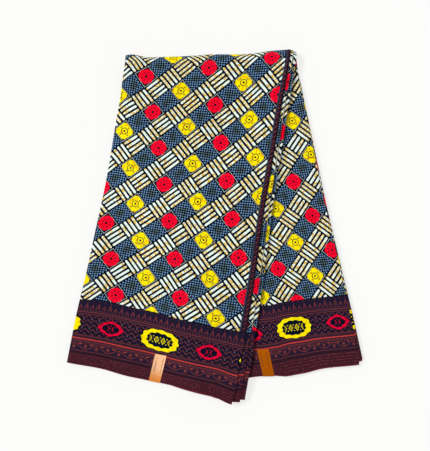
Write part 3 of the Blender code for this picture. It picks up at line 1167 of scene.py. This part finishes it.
# %% Vine, dots and fringe
def running_vine(color, x, y, middle, height, length):
    """A wavy stem with a ring and a dot in each bend, and a row of small leaves above it."""
    swing = (x / length).wave() * height
    stem = (y - middle - swing).size().under(0.6)
    bend = repeat(x, length / 2)
    curl = ring(bend, y - middle + swing * 0.35, 2.7, 1.5)
    color = paint(color, either(stem, curl), dye(118, 54, 50))
    color = paint(color, disc(bend, y - middle + swing * 0.35, 0.8), RUST)
    leaf = repeat(x, length / 2, 0.5)
    leaf_shape = (leaf.size() / 3.2 + (y - middle - 4.6).size() / 1.2).under(1)
    return paint(color, leaf_shape, RUST)


def dotted_ground(color, x, y, low, high, pitch, ink):
    """Staggered pin dots over a stripe. Each took the dye more or less."""
    row = (y / pitch).floor()
    place = x / pitch + row * 0.5
    u, v = place.within() - 0.5, (y / pitch).within() - 0.5
    took = dice(joined(place.floor(), row)) * 0.7 + 0.3
    return paint(color, both(both(disc(u, v, 0.3), between(y, low, high)), took), ink)


def fringe(color, x, y, low, high, gap):
    """A row of short strokes, a long one and a short one by turns."""
    shorter = (x / gap).floor().odd() * ((high - low) * 0.4)
    stroke = both(repeat(x, gap).size().under(gap * 0.2), both(y.over(shorter + low), y.under(high)))
    return paint(color, stroke, dye(112, 50, 52))


tell(running_vine, dotted_ground, fringe)

# %% Tents and chevrons
TENT = 9.6
ZIGZAG, ZIGZAG_APART = 12.5, 8.2


def tents(color, x, y, foot):
    """A row of tents, a tall one and a short one by turns, over a string of rings."""
    place = x / TENT
    tall = place.floor().odd() * 3.6 + 7.4
    slope = (place.within() - 0.5).size() * 2
    rise = y - foot
    shape = both(rise.over(0), (rise / tall + slope * 1.3).under(1))
    door = (rise / tall * 1.8 + slope * 3.4).under(1)
    color = paint(color, shape, dye(106, 46, 50))
    color = paint(color, both(shape, door), MIDNIGHT)
    color = paint(color, disc(repeat(x, TENT), rise - 13.4, 0.9), DULL_RUST)
    return paint(color, ring(repeat(x, TENT / 2), rise + 3.1, 1.5, 0.7), DULL_RUST)


def chevrons(color, x, y):
    """Thin zigzag lines with pins between them."""
    zigzag = repeat(x, ZIGZAG).size() + y
    line = (zigzag / ZIGZAG_APART).within().under(0.13)
    color = paint(color, both(line, between(y, 55, 90)), dye(132, 64, 58))
    pin = disc(repeat(x, ZIGZAG, 0.5), repeat(zigzag, 2 * ZIGZAG_APART, 0.1), 0.95)
    return paint(color, both(pin, between(y, 56, 89)), dye(110, 98, 116))


print(f"a tent every {TENT} mm, and a zigzag every {ZIGZAG} mm")

# %% Medallions
MEDALLION_GAP, MEDALLION_START, MEDALLION_AT = 82, 0.866, 72.6
DIAMOND = 11.4


def medallions(color, print_at, x, y):
    """Large scalloped ovals in yellow, and a small red lozenge between each two."""
    small = (x / MEDALLION_GAP + MEDALLION_START).floor().odd()
    u, v = repeat(x, MEDALLION_GAP, MEDALLION_START), y - MEDALLION_AT
    bright = paint(YELLOW, small, dye(226, 0, 48))
    deeper = ramp(cloud(print_at, 230, detail=4), 0.52, 0.66)
    bright = paint(bright, deeper, paint(AMBER, small, dye(176, 0, 52)))
    wide, tall, roundness = small * -10 + 31, small * -4.4 + 17.6, small * -0.95 + 2.4
    turn = (v / tall).sum("ARCTAN2", u / wide)
    reach = (u / wide).size().power(roundness) + (v / tall).size().power(roundness)
    reach = reach.power(roundness.power(-1))
    scallop = (turn * (small * -4 + 12)).sum("COSINE") * 0.035
    color = paint(color, (reach - scallop).under(1.08), NAVY)
    color = paint(color, (reach - scallop).under(1), bright)
    color = paint(color, (reach + scallop).under(0.7), NAVY)
    inside = small * -12 + 17
    diamond = repeat(u, DIAMOND).size() / 4.4 + v.size() / 6.4
    mark = either(between(diamond, 0.6, 1), diamond.under(0.26))
    pins = both(disc(repeat(u, DIAMOND, 0.5), v.size() - 4.9, 1.1), u.size().under(inside - 4.5))
    return paint(color, either(both(mark, u.size().under(inside)), pins), paint(bright, 0.3, NAVY))


print(f"a medallion every {MEDALLION_GAP} mm, a large one and a small one by turns")


# %% The border
def make_border():
    """The border's colour, and a mask that is 1 over it."""
    tree, take = new_group("border", {"Print": "vector"}, {"Color": "colour", "Mask": "value"})
    print_at = take["Print"]
    along, across = split(print_at)
    edge = across.sum("MINIMUM", across * -1 + CLOTH_WIDTH) / MM
    wobble = (cloud(print_at, 260) - 0.5) * 1.1
    x, y = along / MM + wobble, edge + wobble * 0.6
    color = MAROON
    for low, high, ground_color in BANDS:
        color = paint(color, between(y, low, high), ground_color)
    color = dotted_ground(color, x, y, low=2.6, high=20.6, pitch=4.1, ink=dye(116, 50, 58))
    color = running_vine(color, x, y, middle=33.6, height=3.9, length=37)
    color = fringe(color, x, y, low=38.2, high=43, gap=3.1)
    color = dotted_ground(color, x, y, low=49, high=52.6, pitch=4.6, ink=dye(112, 54, 50))
    color = chevrons(color, x, y)
    color = tents(color, x, y, foot=102)
    color = medallions(color, print_at, x, y)
    put_out(tree, Color=color, Mask=edge.under(BORDER))
    return tree


EDGING = make_border()
print(EDGING.name, "has", len(EDGING.nodes), "nodes")

# %% [markdown]
# ## The print: a heading at the cut end
#
# The outer sheet's right side is where the cloth was cut from the bolt. A narrow dark stripe runs
# along it, from one border to the other. It is drawn in millimetres from the cut end, so it follows
# that side's bow, and its width is eased down towards the fold, where the sheet is pulled in.

# %% The cut end's heading
HEADING_STEP = 8


def make_heading():
    """A dark stripe along the cut end, from border to border, which thins out towards the fold, with
    painted shade along the cut edge.
    """
    tree, take = new_group("heading", {"Print": "vector"}, {"Color": "colour", "Mask": "value"})
    along, across = split(take["Print"])
    x, y = along / MM, across / MM
    width = ramp(y, 0, 420) * -2.4 + ramp(y, 495, 580) * -2.4 + 12.3
    blot = ramp(cloud(take["Print"], 230, detail=2), 0.46, 0.55)
    color = paint(dye(42, 27, 43), blot, dye(22, 15, 31))
    stem = (x - 4.8 - (y / HEADING_STEP).wave() * 2.2).size().under(0.6)
    color = paint(color, stem, dye(86, 38, 44))
    color = paint(color, disc(x - 4.8, repeat(y, HEADING_STEP), 1.3), dye(124, 52, 48))
    color = paint(color, (width - x).under(2.6), dye(48, 56, 76))
    # Painted shade: a near-black line along the first millimetre of the cut edge, for the step down
    # from the outer sheet onto the first side pleat.
    color = paint(color, x.under(1.0), dye(20, 12, 24))
    above_border = both(y.over(BORDER), y.under(CLOTH_WIDTH / MM - BORDER))
    put_out(tree, Color=color, Mask=both(both(x.under(width), x.over(-2)), above_border))
    return tree


END_STRIPE = make_heading()
print(END_STRIPE.name, "has", len(END_STRIPE.nodes), "nodes")

# %% [markdown]
# ## Printed cotton
#
# The material puts the print together, lets the dye drift, opens the veins, and bends light over
# the weave. Calendered cotton has a soft shine, so its roughness is under that of raw cotton, and it
# falls a little where more dye was taken up.

# %% Helpers for a material
def new_material(name):
    """A material with a bare Principled shader, and its UV map as an Ink."""
    material = bpy.data.materials.new(name)
    material.use_nodes = True
    tree = material.node_tree
    coordinates = tree.nodes.new("ShaderNodeUVMap")
    coordinates.uv_map = "print"
    return material, tree, tree.nodes["Principled BSDF"], Ink(tree, coordinates.outputs[0])


def bump(tree, shader, height, strength, depth):
    """Lets a height bend the light."""
    node = tree.nodes.new("ShaderNodeBump")
    node.inputs["Strength"].default_value = strength
    node.inputs["Distance"].default_value = depth
    plug(tree, height, node.inputs["Height"])
    tree.links.new(node.outputs[0], shader.inputs["Normal"])


def times(tree, color, value):
    """Darkens or lightens a colour by a value."""
    node = tree.nodes.new("ShaderNodeMix")
    node.data_type = "RGBA"
    node.blend_type = "MULTIPLY"
    node.inputs["Factor"].default_value = 1
    plug(tree, color, node.inputs["A"])
    tree.links.new(value.socket, node.inputs["B"])
    return Ink(tree, node.outputs["Result"])


tell(new_material, bump, times)


# %% The cloth's material
def printed_cotton():
    """The cloth's material: check, veins, border, heading, dye and weave."""
    material, tree, shader, coordinates = new_material("printed cotton")
    check = use_group(tree, CHECK, Print=coordinates)
    veins = use_group(tree, VEINS, Print=coordinates, Amount=0.75)["Mask"]
    edging = use_group(tree, EDGING, Print=coordinates)
    heading = use_group(tree, END_STRIPE, Print=coordinates)
    color = paint(check["Color"], veins, dye(38, 56, 92))
    color = paint(color, edging["Mask"], edging["Color"])
    color = paint(color, heading["Mask"], heading["Color"])
    uneven = use_group(tree, UNEVEN, Print=coordinates, Amount=0.22)["Value"]
    color = times(tree, color, uneven)
    plug(tree, color, shader.inputs["Base Color"])
    plug(tree, (uneven - 1) * 0.5 + 0.56, shader.inputs["Roughness"])
    shader.inputs["Specular IOR Level"].default_value = 0.03
    weave = use_group(tree, WEAVE, Print=coordinates, Thread=0.45 * MM)["Height"]
    bump(tree, shader, weave, strength=0.35, depth=0.08 * MM)
    return material


cotton = printed_cotton()
for piece in (outer, pleat_a, pleat_b, hidden, inner):
    piece.data.materials.append(cotton)
print(cotton.name, "has", len(cotton.node_tree.nodes), "nodes of its own")

# %% [markdown]
# ## Gold foil
#
# The stickers are matt gold foil. Two rows of faint grey ticks run down each of them. A metal has
# its colour in the reflection, and the matt coat over this one takes part of that away, so Metallic
# is a little over half. Tiny wrinkles break the reflection up. The back one is the darker of the
# two, so each has its own colours, and both materials share one group.

# %% Shared look of the foil
def make_foil():
    """Foil that deepens in colour towards the selvedge, with rows of ticks and tiny wrinkles."""
    inputs = {"Print": "vector", "Color": "colour", "Deeper": "colour", "Tick": "colour"}
    tree, take = new_group("matt foil", inputs, {"Color": "colour", "Wrinkles": "value"})
    x, y = split(take["Print"])
    x, y = x / MM, y / MM
    shade = paint(take["Color"], ramp(y, 22, 46), take["Deeper"])
    tick_rows = either((x - 4.6).size().under(1), (x - 15).size().under(1))
    ticks = both(tick_rows, between(y, 5, 31))
    ticks = both(ticks, dice(joined((x / 3).floor(), (y / 1.3).floor())).over(0.15))
    shade = paint(shade, ticks * 0.6, take["Tick"])
    put_out(tree, Color=shade, Wrinkles=cloud(take["Print"], 380, detail=3))
    return tree


MATT_FOIL = make_foil()
print(MATT_FOIL.name, "has", len(MATT_FOIL.nodes), "nodes")


# %% The foil's materials
def gold_foil(name, color, deeper, tick):
    """A sticker's material: the shared foil in its own colours."""
    material, tree, shader, coordinates = new_material(name)
    foil = use_group(tree, MATT_FOIL, Print=coordinates, Color=color, Deeper=deeper, Tick=tick)
    plug(tree, foil["Color"], shader.inputs["Base Color"])
    plug(tree, foil["Wrinkles"] * 0.2 + 0.3, shader.inputs["Roughness"])
    shader.inputs["Metallic"].default_value = 0.6
    shader.inputs["Specular IOR Level"].default_value = 0.05
    bump(tree, shader, foil["Wrinkles"], strength=0.25, depth=0.15 * MM)
    return material


for piece, name, shades in (
    (sticker_front, "gold foil front", (dye(249, 191, 146), dye(238, 146, 68), dye(128, 96, 92))),
    (sticker_back, "gold foil back", (dye(190, 97, 0), dye(184, 92, 0), dye(92, 48, 44))),
):
    piece.data.materials.append(gold_foil(name, *shades))
print("materials:", ", ".join(material.name for material in bpy.data.materials if material.users))

# %% [markdown]
# ## Table, light and camera
#
# The table is a plain pale plane. It glows, so that it stays nearly white in a light that is set
# for the cloth, and takes only a faint shadow. The light is a bright, even room and one large soft
# lamp up to the left, which is enough to draw a thin shadow along each fold. The camera looks
# straight down, from far away with a long lens, so that the cloth's sides do not lean outwards.

# %% The table
TABLE_REACH, TABLE_DROP = 4.0, 0.2 * MM


def make_table():
    """A pale plane just under the cloth."""
    corners = [(x * TABLE_REACH, y * TABLE_REACH, 0) for x, y in ((-1, -1), (1, -1), (1, 1), (-1, 1))]
    mesh = bpy.data.meshes.new("table")
    mesh.from_pydata(corners, [], [(0, 1, 2, 3)])
    table = bpy.data.objects.new("table", mesh)
    table.location.z = -TABLE_DROP
    scene.collection.objects.link(table)
    material = bpy.data.materials.new("pale table")
    material.use_nodes = True
    shader = material.node_tree.nodes["Principled BSDF"]
    shader.inputs["Base Color"].default_value = (0.22, 0.22, 0.216, 1)
    shader.inputs["Emission Color"].default_value = (1, 1, 0.99, 1)
    shader.inputs["Emission Strength"].default_value = 0.755
    shader.inputs["Roughness"].default_value = 0.9
    shader.inputs["Specular IOR Level"].default_value = 0.1
    mesh.materials.append(material)


make_table()
print(f"the table is {2 * TABLE_REACH:.0f} m wide")

# %% Light
ROOM_LIGHT = 0.5
LAMP_LIGHT = 2.0
LAMP_FROM = Vector((-1.1, 0.5, 1.5))
LAMP_SPREAD = math.radians(18)  # how large the lamp looks from the cloth, which softens its shadows

world = bpy.data.worlds.new("room")
scene.world = world
world.use_nodes = True
world.node_tree.nodes["Background"].inputs["Color"].default_value = (1, 1, 1, 1)
world.node_tree.nodes["Background"].inputs["Strength"].default_value = ROOM_LIGHT

light = bpy.data.lights.new("softbox", "SUN")
light.angle = LAMP_SPREAD
light.energy = LAMP_LIGHT
lamp = bpy.data.objects.new("softbox", light)
lamp.rotation_euler = (-LAMP_FROM).to_track_quat("-Z", "Y").to_euler()
lamp.location = LAMP_FROM
scene.collection.objects.link(lamp)
scene.view_settings.view_transform = "Standard"
print(f"the room gives {ROOM_LIGHT} of light, and the lamp {LAMP_LIGHT}")

# %% Camera
PIXEL = 1.724 * MM  # one pixel of the picture, at the cloth's mean height
FRAME_PIXELS = 451  # the picture's longer side, which is what the sensor's width spans
LENS, SENSOR = 135, 36
MID_HEIGHT = 13 * MM
AIM = Vector((0.7 * PIXEL, 1.4 * PIXEL, 0))  # the cloth lies a little off the picture's middle

camera_data = bpy.data.cameras.new("camera")
camera_data.lens = LENS
camera_data.sensor_width = SENSOR
camera = bpy.data.objects.new("camera", camera_data)
distance = LENS / SENSOR * FRAME_PIXELS * PIXEL
camera.location = AIM + Vector((0, 0, MID_HEIGHT + distance))
camera_data.clip_end = 20
scene.collection.objects.link(camera)
scene.camera = camera
print(f"camera {distance:.2f} m above the cloth")

# %% [markdown]
